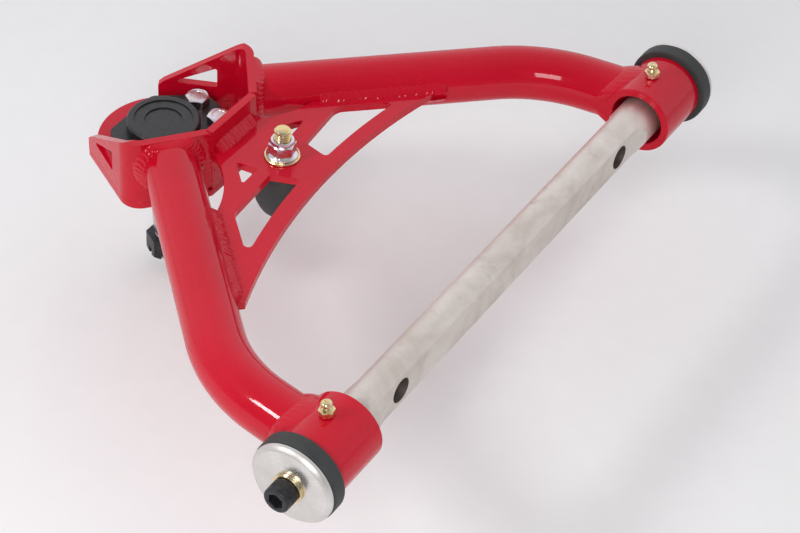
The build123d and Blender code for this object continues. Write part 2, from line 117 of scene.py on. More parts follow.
# ------------------------------------------------------------------ materials
class Look:
    """A node material on one Principled shader, measured in metres of object space."""

    def __init__(self, name, **sockets):
        self.material = bpy.data.materials.new(name)
        self.material.use_nodes = True
        self.tree = self.material.node_tree
        self.shader = self.tree.nodes["Principled BSDF"]
        self.place = self.node("ShaderNodeTexCoord").outputs["Object"]
        self.last_bump = None
        for key, value in sockets.items():
            self.shader.inputs[key.replace("_", " ")].default_value = value

    def node(self, kind, inputs=None, **attributes):
        made = self.tree.nodes.new(kind)
        for key, value in attributes.items():
            setattr(made, key, value)
        for key, value in (inputs or {}).items():
            if isinstance(value, bpy.types.NodeSocket):
                self.tree.links.new(value, made.inputs[key])
            else:
                made.inputs[key].default_value = value
        return made

    def scaled(self, x, y, z):
        return self.node("ShaderNodeMapping", {"Vector": self.place, "Scale": (x, y, z)}).outputs["Vector"]

    def noise(self, scale, detail=2.0, rough=0.5, place=None, distortion=0.0):
        made = self.node("ShaderNodeTexNoise", {"Vector": place or self.place, "Scale": scale,
                                                "Detail": detail, "Roughness": rough,
                                                "Distortion": distortion})
        return made.outputs["Fac"]

    def spread(self, value, low, high, to_low=0.0, to_high=1.0):
        made = self.node("ShaderNodeMapRange", {"Value": value, "From Min": low, "From Max": high,
                                                "To Min": to_low, "To Max": to_high})
        return made.outputs["Result"]

    def maths(self, operation, a, b=0.0):
        return self.node("ShaderNodeMath", {0: a, 1: b}, operation=operation).outputs["Value"]

    def mixed(self, share, a, b):
        made = self.node("ShaderNodeMix", data_type="RGBA")
        sockets = [s for s in made.inputs if s.enabled]
        for socket, value in zip(sockets, (share, a, b)):
            if isinstance(value, bpy.types.NodeSocket):
                self.tree.links.new(value, socket)
            else:
                socket.default_value = value
        return next(s for s in made.outputs if s.enabled)

    def colour(self, share, *stops):
        """Colour along stops of (position, (r, g, b))."""
        ramp = self.node("ShaderNodeValToRGB", {"Fac": share})
        elements = ramp.color_ramp.elements
        while len(elements) < len(stops):
            elements.new(0.5)
        for element, (place, rgb) in zip(elements, stops):
            element.position = place
            element.color = (*rgb, 1.0)
        return ramp.outputs["Color"]

    def bump(self, height, distance):
        inputs = {"Height": height, "Distance": distance, "Strength": 1.0}
        if self.last_bump:
            inputs["Normal"] = self.last_bump
        self.last_bump = self.node("ShaderNodeBump", inputs).outputs["Normal"]

    def done(self, **links):
        for key, value in links.items():
            self.tree.links.new(value, self.shader.inputs[key.replace("_", " ")])
        if self.last_bump:
            self.tree.links.new(self.last_bump, self.shader.inputs["Normal"])
        return self.material


def red_coat():
    """Gloss powder coat: a slow orange peel over a deep red, a little uneven in thickness."""
    look = Look("red_powder_coat", Coat_Weight=0.6, Coat_Roughness=0.06, Coat_IOR=1.5, IOR=1.5,
                Specular_IOR_Level=0.02)
    cloud = look.noise(22, 3)
    colour = look.colour(cloud, (0.3, (0.55, 0.0015, 0.0170)), (0.7, (0.60, 0.0028, 0.0230)))
    specks = look.spread(look.noise(2300, 0), 0.74, 0.80)
    colour = look.mixed(specks, colour, (0.70, 0.03, 0.05, 1))
    look.bump(look.noise(300, 1.5, 0.4), 0.000022)
    look.bump(look.noise(1400, 1), 0.000003)
    rough = look.spread(look.noise(90, 3), 0.3, 0.7, 0.24, 0.36)
    return look.done(Base_Color=colour, Roughness=rough)


def shaft_steel():
    """Satin nickel over drawn and milled bar: blotchy, with faint marks along it, and painted shade inside
    the bolt holes.
    """
    look = Look("shaft_nickel", Metallic=0.78, Specular_IOR_Level=0.4)
    cloud = look.noise(30, 6, 0.66, look.scaled(1, 0.8, 1), 0.5)
    streak = look.noise(380, 4, 0.6, look.scaled(1, 0.05, 1))
    stain = look.spread(look.noise(70, 6, 0.74), 0.56, 0.74)
    colour = look.colour(cloud, (0.30, (0.56, 0.495, 0.445)), (0.5, (0.67, 0.61, 0.56)),
                         (0.72, (0.76, 0.715, 0.67)))
    colour = look.mixed(look.maths("MULTIPLY", stain, 0.42), colour, (0.36, 0.30, 0.26, 1))
    scratch = look.spread(look.noise(900, 2, 0.5, look.scaled(1, 0.02, 1)), 0.64, 0.72)
    colour = look.mixed(look.maths("MULTIPLY", scratch, 0.2), colour, (0.80, 0.78, 0.74, 1))
    # Painted shade: the insides of the frame bolt holes are darkened to near black, standing in for the
    # shade in the bore.
    part = look.node("ShaderNodeSeparateXYZ", {"Vector": look.place}).outputs
    along = look.maths("SUBTRACT", look.maths("ABSOLUTE", part["Y"]), FRAME_BOLT_Y * MM)
    squares = [look.maths("MULTIPLY", value, value) for value in (along, part["Z"])]
    from_axis = look.maths("SQRT", look.maths("ADD", *squares))
    hole_painted_shade = look.spread(from_axis, (FRAME_BOLT_R - 0.05) * MM, (FRAME_BOLT_R + 0.25) * MM, 0.85, 0)
    colour = look.mixed(hole_painted_shade, colour, (0.085, 0.068, 0.058, 1))
    look.bump(streak, 0.000018)
    rough = look.spread(cloud, 0.25, 0.75, 0.50, 0.34)
    return look.done(Base_Color=colour, Roughness=rough)


def turned_steel(name, along, face):
    """Turned steel: a bright face with fine rings about the axis given, matt outside the face's radius."""
    look = Look(name, Metallic=0.92)
    flat = {"X": (0, 1, 1), "Y": (1, 0, 1), "Z": (1, 1, 0)}[along]
    radius = look.node("ShaderNodeVectorMath", {0: look.scaled(*flat)}, operation="LENGTH").outputs["Value"]
    rings = look.noise(4200.0, 2, 0.6, look.node("ShaderNodeCombineXYZ", {"X": radius}).outputs["Vector"])
    cloud = look.noise(60, 4, 0.6)
    colour = look.colour(look.spread(cloud, 0.3, 0.7), (0, (0.62, 0.585, 0.56)), (1, (0.74, 0.715, 0.695)))
    colour = look.mixed(look.spread(rings, 0.5, 0.8, 0, 0.3), colour, (0.50, 0.475, 0.455, 1))
    look.bump(rings, 0.000002)
    rim = look.spread(radius, face - 0.0003, face + 0.0003)
    smooth = look.spread(cloud, 0.3, 0.7, 0.34, 0.24)
    rough = look.maths("ADD", look.maths("MULTIPLY", rim, 0.16), smooth)
    return look.done(Base_Color=colour, Roughness=rough)


def black_oxide():
    look = Look("black_oxide", Metallic=0.35, Specular_IOR_Level=0.5)
    cloud = look.noise(260, 4, 0.6)
    wear = look.spread(look.noise(900, 3, 0.7), 0.62, 0.78)
    colour = look.colour(cloud, (0.3, (0.016, 0.016, 0.018)), (0.7, (0.034, 0.034, 0.038)))
    colour = look.mixed(look.maths("MULTIPLY", wear, 0.5), colour, (0.10, 0.098, 0.095, 1))
    look.bump(look.noise(1600, 3), 0.00001)
    return look.done(Base_Color=colour, Roughness=look.spread(cloud, 0.3, 0.7, 0.34, 0.5))


def zinc(name, stops, low=0.16, high=0.34):
    """Passivated zinc plate: the passivation's tint drifts over a bright, lightly marked metal."""
    look = Look(name, Metallic=1.0)
    drift = look.noise(170, 2, 0.5, None, 0.8)
    colour = look.colour(look.spread(drift, 0.32, 0.68), *stops)
    fog = look.noise(1500, 3, 0.6)
    colour = look.mixed(look.spread(fog, 0.55, 0.8, 0, 0.35), colour, (0.42, 0.37, 0.30, 1))
    look.bump(look.noise(2600, 2), 0.000012)
    return look.done(Base_Color=colour, Roughness=look.spread(fog, 0.3, 0.7, low, high))


def urethane():
    """Dark grey moulded polyurethane, matte, with a faint mottle."""
    look = Look("grey_urethane", Specular_IOR_Level=0.35)
    cloud = look.noise(110, 4, 0.6)
    colour = look.colour(cloud, (0.3, (0.034, 0.036, 0.036)), (0.7, (0.052, 0.054, 0.054)))
    look.bump(look.noise(2600, 3, 0.6), 0.00002)
    look.bump(look.noise(300, 2), 0.00003)
    return look.done(Base_Color=colour, Roughness=look.spread(cloud, 0.3, 0.7, 0.52, 0.66))


def black_forging():
    """Black coated forging: scale and die texture under a satin coat."""
    look = Look("black_forging", Specular_IOR_Level=0.55)
    scale = look.noise(240, 5, 0.65)
    colour = look.colour(scale, (0.3, (0.011, 0.011, 0.012)), (0.75, (0.024, 0.024, 0.026)))
    look.bump(scale, 0.00010)
    look.bump(look.noise(1500, 3, 0.6), 0.00003)
    return look.done(Base_Color=colour, Roughness=look.spread(look.noise(400, 3), 0.3, 0.7, 0.30, 0.46))


def stud_steel():
    """Ground steel stud: bands of fine grinding round the shank."""
    look = Look("ground_stud", Metallic=0.95)
    lines = look.noise(1.0, 3, 0.65, look.scaled(60, 60, 7000))
    bands = look.noise(1.0, 2, 0.5, look.scaled(20, 20, 420))
    colour = look.colour(bands, (0.3, (0.40, 0.39, 0.385)), (0.7, (0.56, 0.55, 0.54)))
    colour = look.mixed(look.spread(lines, 0.5, 0.8, 0, 0.4), colour, (0.74, 0.73, 0.72, 1))
    look.bump(lines, 0.000012)
    return look.done(Base_Color=colour, Roughness=look.spread(bands, 0.3, 0.7, 0.26, 0.38))


def boot_rubber():
    look = Look("boot_rubber", Specular_IOR_Level=0.5)
    cloud = look.noise(140, 3, 0.6)
    dust = look.spread(look.noise(700, 4, 0.7), 0.60, 0.80)
    colour = look.colour(cloud, (0.3, (0.010, 0.010, 0.012)), (0.7, (0.018, 0.018, 0.022)))
    colour = look.mixed(look.maths("MULTIPLY", dust, 0.25), colour, (0.07, 0.07, 0.075, 1))
    look.bump(look.noise(1900, 3, 0.6), 0.000015)
    return look.done(Base_Color=colour, Roughness=look.spread(cloud, 0.3, 0.7, 0.34, 0.50))


def inner_steel():
    look = Look("spring_steel", Metallic=0.9)
    cloud = look.noise(320, 4, 0.6)
    colour = look.colour(cloud, (0.3, (0.30, 0.295, 0.29)), (0.7, (0.46, 0.455, 0.45)))
    look.bump(look.noise(1800, 3), 0.00001)
    return look.done(Base_Color=colour, Roughness=look.spread(cloud, 0.3, 0.7, 0.28, 0.45))


LOOKS = {
    "red_coat": red_coat(),
    "shaft_steel": shaft_steel(),
    "washer_steel": turned_steel("turned_washer", "Y", WASHER_FACE_R * MM),
    "black_oxide": black_oxide(),
    "yellow_zinc": zinc("yellow_zinc", [(0, (0.78, 0.56, 0.24)), (0.45, (0.80, 0.66, 0.36)),
                                        (0.75, (0.70, 0.62, 0.42)), (1, (0.74, 0.50, 0.38))]),
    "clear_zinc": zinc("clear_zinc", [(0, (0.74, 0.68, 0.78)), (0.4, (0.76, 0.76, 0.78)),
                                      (0.7, (0.70, 0.60, 0.70)), (1, (0.74, 0.71, 0.64))], 0.20, 0.36),
    "urethane": urethane(),
    "black_forging": black_forging(),
    "stud_steel": stud_steel(),
    "boot_rubber": boot_rubber(),
    "inner_steel": inner_steel(),
}
SLOT_OF = {row["node"]: row["material_slot"] for row in frame["record"]["subparts"]}


def paint(obj, slot):
    obj.data.materials.clear()
    obj.data.materials.append(LOOKS[slot])


for name, obj in NODES.items():
    paint(obj, SLOT_OF[name])


# ------------------------------------------------------------------ mesh helpers
def shade(mesh, angle):
    mesh.polygons.foreach_set("use_smooth", [True] * len(mesh.polygons))
    mesh.set_sharp_from_angle(angle=radians(angle))
    mesh.update()


def piece(name, points, faces, body, slot, stands_for=(), angle=32):
    """A mesh object from points in millimetres, painted, slotted and riding on a body."""
    mesh = bpy.data.meshes.new(name)
    mesh.from_pydata([tuple(Vector(p) * MM) for p in points], [], faces)
    mesh.validate()
    tidy = bmesh.new()
    tidy.from_mesh(mesh)
    bmesh.ops.recalc_face_normals(tidy, faces=tidy.faces)
    tidy.to_mesh(mesh)
    tidy.free()
    return finish_piece(name, mesh, body, slot, stands_for, angle)


def finish_piece(name, mesh, body, slot, stands_for, angle):
    shade(mesh, angle)
    obj = bpy.data.objects.new(name, mesh)
    bpy.context.scene.collection.objects.link(obj)
    paint(obj, slot)
    if body:
        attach(obj, body)
    if stands_for:
        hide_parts(*stands_for)
    return obj


def rounded(node, width, segments=2):
    """The CAD node again with its sharp edges rounded over, as a coat or a deburring leaves them."""
    work = bmesh.new()
    work.from_mesh(NODES[node].data)
    bmesh.ops.remove_doubles(work, verts=work.verts, dist=0.002 * MM)
    bmesh.ops.dissolve_limit(work, angle_limit=radians(0.6), verts=work.verts, edges=work.edges)
    sharp = [e for e in work.edges if len(e.link_faces) == 2 and e.calc_face_angle(0) > radians(SOFT_EDGE)]
    bmesh.ops.bevel(work, geom=sharp, offset=width * MM, offset_type="OFFSET", segments=segments,
                    profile=0.5, affect="EDGES", clamp_overlap=True, harden_normals=False)
    mesh = bpy.data.meshes.new(node + "_edged")
    work.to_mesh(mesh)
    work.free()
    body = NODES[node]["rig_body"]
    obj = finish_piece(node + "_edged", mesh, body, SLOT_OF[node], (node,), 45)
    weights = obj.modifiers.new("even_faces", "WEIGHTED_NORMAL")
    weights.keep_sharp = True


def at(value, turn):
    return value(turn) if callable(value) else value


def ring_mesh(rings, count=96):
    """Closed surface through rings of (radius, height); either may depend on the turn about Z."""
    points, faces, rows = [], [], []
    for radius, height in rings:
        if not callable(radius) and radius < 1e-6:
            rows.append([len(points)])
            points.append((0, 0, at(height, 0)))
            continue
        rows.append(list(range(len(points), len(points) + count)))
        for i in range(count):
            turn = 2 * pi * i / count
            r = at(radius, turn)
            points.append((r * cos(turn), r * sin(turn), at(height, turn)))
    for one, two in zip(rows, rows[1:]):
        for i in range(count):
            j = (i + 1) % count
            if len(one) == 1 and len(two) == 1:
                continue
            if len(one) == 1:
                faces.append((one[0], two[j], two[i]))
            elif len(two) == 1:
                faces.append((one[i], one[j], two[0]))
            else:
                faces.append((one[i], one[j], two[j], two[i]))
    return points, faces


def closed(rings):
    """Rings of a hollow part, back to the first one."""
    return [*rings, rings[0]]


def placed(points, matrix):
    return [matrix @ Vector(p) for p in points]


def along_rear(y):
    """Turns +Z of a part into +Y, with its foot at the given distance along the shaft."""
    return Matrix.Translation((0, y, 0)) @ Matrix.Rotation(-pi / 2, 4, "X")


FRONT = Matrix.Scale(-1, 4, (0, 1, 0))      # from the rear half to the front half


def hexagon(across, turn_deg=0.0):
    """Radius of a hexagon at a turn, with its corners just broken."""

    def radius(turn):
        part = (turn - radians(turn_deg) + pi / 6) % (pi / 3) - pi / 6
        return min(across / 2 / cos(part), across / 2 * 1.145)
    return radius


def chamfered_hex(across, low, high, turn_deg, bottom=True, flat=0.94):
    """Rings of a hexagon whose corners are turned off at 30 degrees on its top and, if asked, its bottom."""
    edge = hexagon(across, turn_deg)
    face = across / 2 * flat
    rings = [(edge, lambda turn: high - (edge(turn) - face) * tan(radians(30))), (face, high)]
    if not bottom:
        return [(edge, low), *rings]
    return [(face, low), (edge, lambda turn: low + (edge(turn) - face) * tan(radians(30))), *rings]


def thread(major, pitch, low, high, step=6):
    """Rings of a cut screw thread that fades out at both ends, with so many rings to a turn."""
    depth = pitch * 0.58
    rows = int((high - low) / pitch * step)
    rings = []
    for k in range(rows + 1):
        z = low + (high - low) * k / rows
        fade = min(1.0, (z - low) / pitch / 0.8, (high - z) / pitch / 0.8)

        def radius(turn, z=z, fade=fade):
            part = (z / pitch - turn / (2 * pi)) % 1.0
            ridge = max(0.0, min(1.0, 1.25 - abs(part * 2 - 1) * 1.5))
            return major - depth * (1 - ridge) * fade
        rings.append((radius, z))
    return rings


# ------------------------------------------------------------------ weld beads
def wander(place, seed):
    """Slow drift between -1 and 1 along a bead."""
    return (sin(place * 0.83 + seed) + sin(place * 0.37 + 2.1 * seed) + sin(place * 1.91 + 3.7 * seed)) / 3


def weld(stations, pitch, bulge, ripple, seed, loop=False):
    """A laid bead. Each station is (corner, end on one surface, end on the other), in millimetres."""
    across = 12         # faces over the bead's width
    stations = [tuple(Vector(p) for p in s) for s in stations]
    run = [0.0]
    for one, two in zip(stations, stations[1:]):
        run.append(run[-1] + ((two[1] + two[2]) - (one[1] + one[2])).length / 2)
    total = run[-1] + ((stations[0][0] - stations[-1][0]).length if loop else 0)
    if loop:
        pitch = total / round(total / pitch)
    points, faces, size = [], [], across + 2
    for (corner, first, second), s in zip(stations, run):
        leg = ((first - corner).length + (second - corner).length) / 2
        out = ((first - corner) + (second - corner)).normalized()
        near = 1.0 if loop else min(1.0, min(s, total - s) / (leg * 0.9))
        end = max(0.08, sqrt(1 - (1 - near) ** 2))
        drift = 0.0 if loop else wander(s * 1.3, seed + 5)
        around = 2 * pi * s / total
        width = (1 + 0.08 * (sin(3 * around + seed) if loop else wander(s, seed))) * end
        points.append(corner - out * 0.3)
        for k in range(across + 1):
            t = k / across
            rise = 4 * t * (1 - t)
            wave = abs(sin(pi * (s / pitch - 0.6 * rise + 0.35 * drift + 0.2 * sin(5 * around))))
            spread = width * (1 + 0.06 * wave)
            base = corner + (first - corner) * (1 - t) * spread + (second - corner) * t * spread
            crust = 0.10 * rise * sin(2 * pi * s / pitch * 2.6 + 5 * t + seed)
            height = leg * bulge * rise ** 0.8 * (1 - ripple + ripple * wave) * end + crust * ripple
            points.append(base + out * (height - 0.12))
    count = len(stations)
    for i in range(count if loop else count - 1):
        a, b = i * size, ((i + 1) % count) * size
        for k in range(size):
            m = (k + 1) % size
            faces.append((a + k, a + m, b + m, b + k))
    if not loop:
        faces.append(tuple(range(size)))
        faces.append(tuple(reversed(range((count - 1) * size, count * size))))
    return points, faces


def lay(name, rear, front=None):
    """A bead on the rear half, and its twin, or one of its own, on the front half."""
    piece("rear_" + name, *rear, "arm", "red_coat", angle=60)
    points, faces = front or rear
    piece("front_" + name, placed(points, FRONT), faces, "arm", "red_coat", angle=60)


def tube_to_box_weld():
    """Ring round the tube where it butts against the side wall of the ball joint box."""
    face = BOX_CORNER + WALL_OUT * (SHEET / 2)
    side = Vector((-TUBE_DIR.y, TUBE_DIR.x, 0))
    up = Vector((0, 0, 1))
    leg, stations, count = 5.0, [], 300
    for i in range(count):
        turn = 2 * pi * i / count
        radial = side * cos(turn) + up * sin(turn)
        line = TUBE_END + radial * TUBE_R
        corner = line - TUBE_DIR * ((line - face).dot(WALL_OUT) / TUBE_DIR.dot(WALL_OUT))
        flat = (radial - WALL_OUT * radial.dot(WALL_OUT)).normalized()
        foot = corner + flat * leg
        foot.z = min(foot.z, WALL_TOP - 0.2)
        past = max(0.0, (foot - face).dot(WALL_DIR) - WALL_STRAIGHT)
        foot -= WALL_OUT * (WALL_BEND_R - sqrt(WALL_BEND_R ** 2 - past ** 2))
        stations.append((corner, corner - TUBE_DIR * leg, foot))
    return weld(stations, pitch=3.3, bulge=0.18, ripple=0.20, seed=2.0, loop=True)


def tube_to_sleeve_weld():
    """Broad smooth collar where the coped tube meets the bushing sleeve."""
    along = (TUBE_BEND - TUBE_START).normalized()
    side = Vector((-along.y, along.x, 0))
    leg, up_tube, stations, count = 3.9, 7.2, [], 260
    for i in range(count):
        turn = 2 * pi * i / count
        height = TUBE_R * sin(turn)
        line = TUBE_START + side * (TUBE_R * cos(turn)) + Vector((0, 0, height))
        corner = line + along * ((sqrt(SLEEVE_R ** 2 - height ** 2) - line.x) / along.x)
        angle = atan2(corner.z, corner.x)
        away = Vector((angle * SLEEVE_R, corner.y - TUBE_START.y + 2.9)).normalized()
        angle += leg * away.x / SLEEVE_R
        y = min(max(corner.y + leg * away.y, SLEEVE_IN + 0.6), SLEEVE_OUT - 0.6)
        foot = Vector((SLEEVE_R * cos(angle), y, SLEEVE_R * sin(angle)))
        stations.append((corner, corner + along * up_tube, foot))
    return weld(stations, pitch=4.2, bulge=0.10, ripple=0.10, seed=4.0, loop=True)


def gusset_to_tube_weld(side, start, tip, on_plate, on_tube):
    """Bead along the tube, on the upper (1) or lower (-1) face of the gusset, from the notch to the tip."""
    inboard = Vector((TUBE_DIR.y, -TUBE_DIR.x, 0))      # from the tube's axis towards the plate
    height, stations, count = GUSSET_TOP, [], 170
    reach = sqrt(TUBE_R ** 2 - height ** 2)
    angle = asin(height / TUBE_R) + on_tube / TUBE_R
    for i in range(count + 1):
        y = start + (tip - start) * i / count
        foot = inboard * reach
        axis = TUBE_END + TUBE_DIR * ((y - foot.y - TUBE_END.y) / TUBE_DIR.y)
        corner = axis + foot + Vector((0, 0, height * side))
        plate = min(on_plate, 1.2 + 0.55 * (tip + 1.0 - y))
        up = axis + inboard * (TUBE_R * cos(angle)) + Vector((0, 0, TUBE_R * sin(angle) * side))
        stations.append((corner, corner + inboard * plate, up))
    return weld(stations, pitch=3.1, bulge=0.11, ripple=0.30, seed=6.0 + side + on_plate)


def gusset_to_wall_weld(side):
    """Fillet between the gusset and the back wall, over (1) or under (-1) the gusset."""
    half, leg, count, stations = 18.5, 5.2, 90, []
    for i in range(count + 1):
        corner = Vector((BACK_X, half * (2 * i / count - 1), GUSSET_TOP * side))
        stations.append((corner, corner - Vector((leg, 0, 0)), corner + Vector((0, 0, leg * side))))
    return weld(stations, pitch=1.9, bulge=0.05, ripple=0.12, seed=8.0 + side)


def corner_weld():
    """Upright bead that closes the corner between the back wall and the side bracket."""
    inner = Vector((181.2, 21.6, 0))
    first = Vector((BACK_X, 19.4, 0))
    second = BOX_CORNER + WALL_OUT * (SHEET / 2) + WALL_DIR * 2.0
    low, high, count, stations = FLOOR_Z + 0.4, WALL_TOP - 0.2, 90, []
    for i in range(count + 1):
        lift = Vector((0, 0, low + (high - low) * i / count))
        stations.append((inner + lift, first + lift, second + lift))
    return weld(stations, pitch=3.6, bulge=0.15, ripple=0.40, seed=11.0)


lay("tube_to_box_weld", tube_to_box_weld())
lay("tube_to_sleeve_weld", tube_to_sleeve_weld())
lay("corner_weld", corner_weld())
for side, label in ((1, "upper"), (-1, "lower")):
    lay(label + "_gusset_weld", gusset_to_tube_weld(side, start=61.0, tip=113.0, on_plate=4.6, on_tube=4.8),
        gusset_to_tube_weld(side, start=53.6, tip=106.5, on_plate=2.6, on_tube=4.4))
    piece(label + "_wall_weld", *gusset_to_wall_weld(side), "arm", "red_coat", angle=60)


# ------------------------------------------------------------------ pieces with eased edges
for node in ("rear_side_bracket", "front_side_bracket", "back_wall", "gusset_plate", "ball_joint_plate"):
    rounded(node, 0.55)
for node in ("rear_bushing_sleeve", "front_bushing_sleeve"):
    rounded(node, 0.3)
rounded("cross_shaft", 0.35)
rounded("ball_joint_housing", 0.5)


# ------------------------------------------------------------------ shaft ends
def end_piece(name, rings, y, body, slot, count=96, angle=32):
    """A round piece on the shaft's axis at the rear end, and its mirror image at the front end."""
    points, faces = ring_mesh(rings, count)
    rear = placed(points, along_rear(y))
    piece("rear_" + name + "_made", rear, faces, body, slot, ("rear_" + name,), angle)
    piece("front_" + name + "_made", placed(rear, FRONT), faces, body, slot, ("front_" + name,), angle)


def shaft_ends():
    low, high = (v.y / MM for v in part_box("rear_thrust_washer"))
    radius, thick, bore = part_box("rear_thrust_washer")[1].x / MM, high - low, 5.16
    rim = [(bore, 0.4), (bore + 0.4, 0), (radius - 0.4, 0), (radius, 0.4), (radius, thick - 2.35),
           (radius - 0.12, thick - 2.05), (radius - 2.05, thick - 0.12), (radius - 2.35, thick),
           (bore + 0.5, thick), (bore, thick - 0.5)]
    end_piece("thrust_washer", closed(rim), low, "shaft", "washer_steel", 160)

    low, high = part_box("rear_lock_washer")[1].y / MM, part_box("rear_cap_screw")[1].y / MM
    tall, head = high - low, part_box("rear_cap_screw")[1].x / MM
    socket = hexagon(7.94)

    def knurl(turn):
        return head - 0.12 * abs(sin(turn * 36))

    rings = [(0, -20), (4.2, -20), (4.7, -19.5), (4.7, 0), (head - 0.5, 0), (head - 0.05, 0.45),
             (head - 0.05, 1.0), (knurl, 1.3)]
    rings += [(knurl, 1.3 + 4.8 * k / 8) for k in range(1, 9)]
    rings += [(head - 0.02, 6.4), (head - 0.02, tall - 1.2), (head - 0.12, tall - 0.75),
              (head - 0.42, tall - 0.3), (head - 0.9, tall - 0.02), (head - 1.3, tall), (4.85, tall),
              (4.62, tall - 0.2), (lambda t: min(socket(t), 4.50), tall - 0.3), (socket, tall - 0.75),
              (socket, tall - 4.8), (0, tall - 6.2)]
    end_piece("cap_screw", rings, low, "shaft", "black_oxide", 288, 40)
    for node in ("rear_lock_washer", "front_lock_washer"):
        rounded(node, 0.3, 3)


shaft_ends()


# ------------------------------------------------------------------ bushings and grease fittings
def grease_fittings():
    """Hexagon, neck and check-ball head of a drive fitting, leaning a little outboard."""
    lean = Matrix.Rotation(radians(5), 4, "Y")
    y = (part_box("rear_grease_fitting")[0].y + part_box("rear_grease_fitting")[1].y) / 2 / MM
    foot = SLEEVE_R + 0.6
    rings = [(0, foot - 4), (3.1, foot - 4), (3.1, foot - 0.2), (3.3, foot - 0.1)]
    rings += chamfered_hex(7.9, foot, foot + 3.2, 10, flat=0.93)
    rings += [(3.1, foot + 3.25), (3.0, foot + 3.6), (2.9, foot + 4.1), (2.35, foot + 4.75),
              (2.2, foot + 5.1), (2.35, foot + 5.5), (2.85, foot + 6.0), (3.1, foot + 6.4),
              (3.1, foot + 6.9), (2.9, foot + 7.4), (2.3, foot + 7.95), (1.6, foot + 8.2),
              (1.0, foot + 8.25), (0.9, foot + 7.9), (0.7, foot + 8.1), (0.4, foot + 8.22),
              (0, foot + 8.25)]
    points, faces = ring_mesh(rings, 72)
    rear = placed(points, Matrix.Translation((0, y, 0)) @ lean)
    piece("rear_grease_fitting_made", rear, faces, "arm", "yellow_zinc", ("rear_grease_fitting",))
    piece("front_grease_fitting_made", placed(rear, FRONT), faces, "arm", "yellow_zinc",
          ("front_grease_fitting",))


grease_fittings()
for node in ("rear_bushing", "front_bushing"):
    rounded(node, 0.4)


# ------------------------------------------------------------------ bump stop
def bump_stop():
    there = Matrix.Translation((STOP_X, 0, 0))
    top, low = (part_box("bump_stop")[i].z / MM for i in (1, 0))
    wide = (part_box("bump_stop")[1].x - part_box("bump_stop")[0].x) / 2 / MM
    rings = [(4.9, top), (wide - 2.2, top), (wide - 1.4, top - 0.3), (wide - 0.9, top - 1.2),
             (wide - 0.2, top - 3.4), (wide, top - 5.0), (wide, top - 9), (wide - 0.05, top - 13),
             (wide - 0.35, top - 17), (wide - 1.1, top - 21), (wide - 2.2, top - 25),
             (wide - 3.7, top - 28.6), (wide - 5.2, top - 31.2), (wide - 6.4, top - 32.6),
             (wide - 7.8, top - 33.3), (wide - 9.6, low), (0, low)]
    points, faces = ring_mesh([(0, top - 9), (4.9, top - 9), *rings], 112)
    piece("bump_stop_made", placed(points, there), faces, "arm", "urethane", ("bump_stop",), 50)

    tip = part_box("bump_stop_stud")[1].z / MM
    rings = [(0, -14), (11, -14), (11, -9.5), (4.76, -9.5), (4.76, 1.0)]
    rings += thread(4.76, 1.5875, 1.2, tip - 0.9, step=8)
    rings += [(3.95, tip - 0.25), (3.6, tip), (0, tip)]
    points, faces = ring_mesh(rings, 64)
    piece("bump_stop_stud_made", placed(points, there), faces, "arm", "yellow_zinc", ("bump_stop_stud",), 50)

    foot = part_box("bump_stop_nut")[0].z / MM
    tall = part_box("bump_stop_nut")[1].z / MM - foot
    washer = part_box("bump_stop_washer")[1].x / MM - STOP_X
    thick = foot - GUSSET_TOP
    rings = closed([(5.1, GUSSET_TOP), (washer - 0.2, GUSSET_TOP), (washer, GUSSET_TOP + 0.3),
                    (washer, GUSSET_TOP + thick - 0.35), (washer - 0.35, foot), (5.1, foot)])
    points, faces = ring_mesh(rings, 96)
    piece("bump_stop_washer_made", placed(points, there), faces, "arm", "yellow_zinc", ("bump_stop_washer",))

    side = hexagon(14.3, 15)

    def serrated(turn):
        return 9.2 - 0.12 * abs(sin(turn * 24))

    rings = closed([(4.85, foot + 0.3), (5.4, foot), (8.9, foot), (serrated, foot + 0.25),
                    (serrated, foot + 0.9), (8.7, foot + 1.35), (8.0, foot + 1.9),
                    (lambda t: min(side(t), 7.75), foot + 2.3), (side, foot + 3.1),
                    (side, lambda t: foot + tall - 2.75 - (side(t) - 6.9) * 0.58),
                    (6.95, foot + tall - 2.6), (6.75, foot + tall - 2.3), (6.75, foot + tall - 1.2),
                    (6.55, foot + tall - 0.5), (6.0, foot + tall - 0.1), (5.5, foot + tall),
                    (5.0, foot + tall - 0.15), (4.85, foot + tall - 0.8)])
    points, faces = ring_mesh(rings, 144)
    piece("bump_stop_nut_made", placed(points, there), faces, "arm", "clear_zinc", ("bump_stop_nut",))


bump_stop()


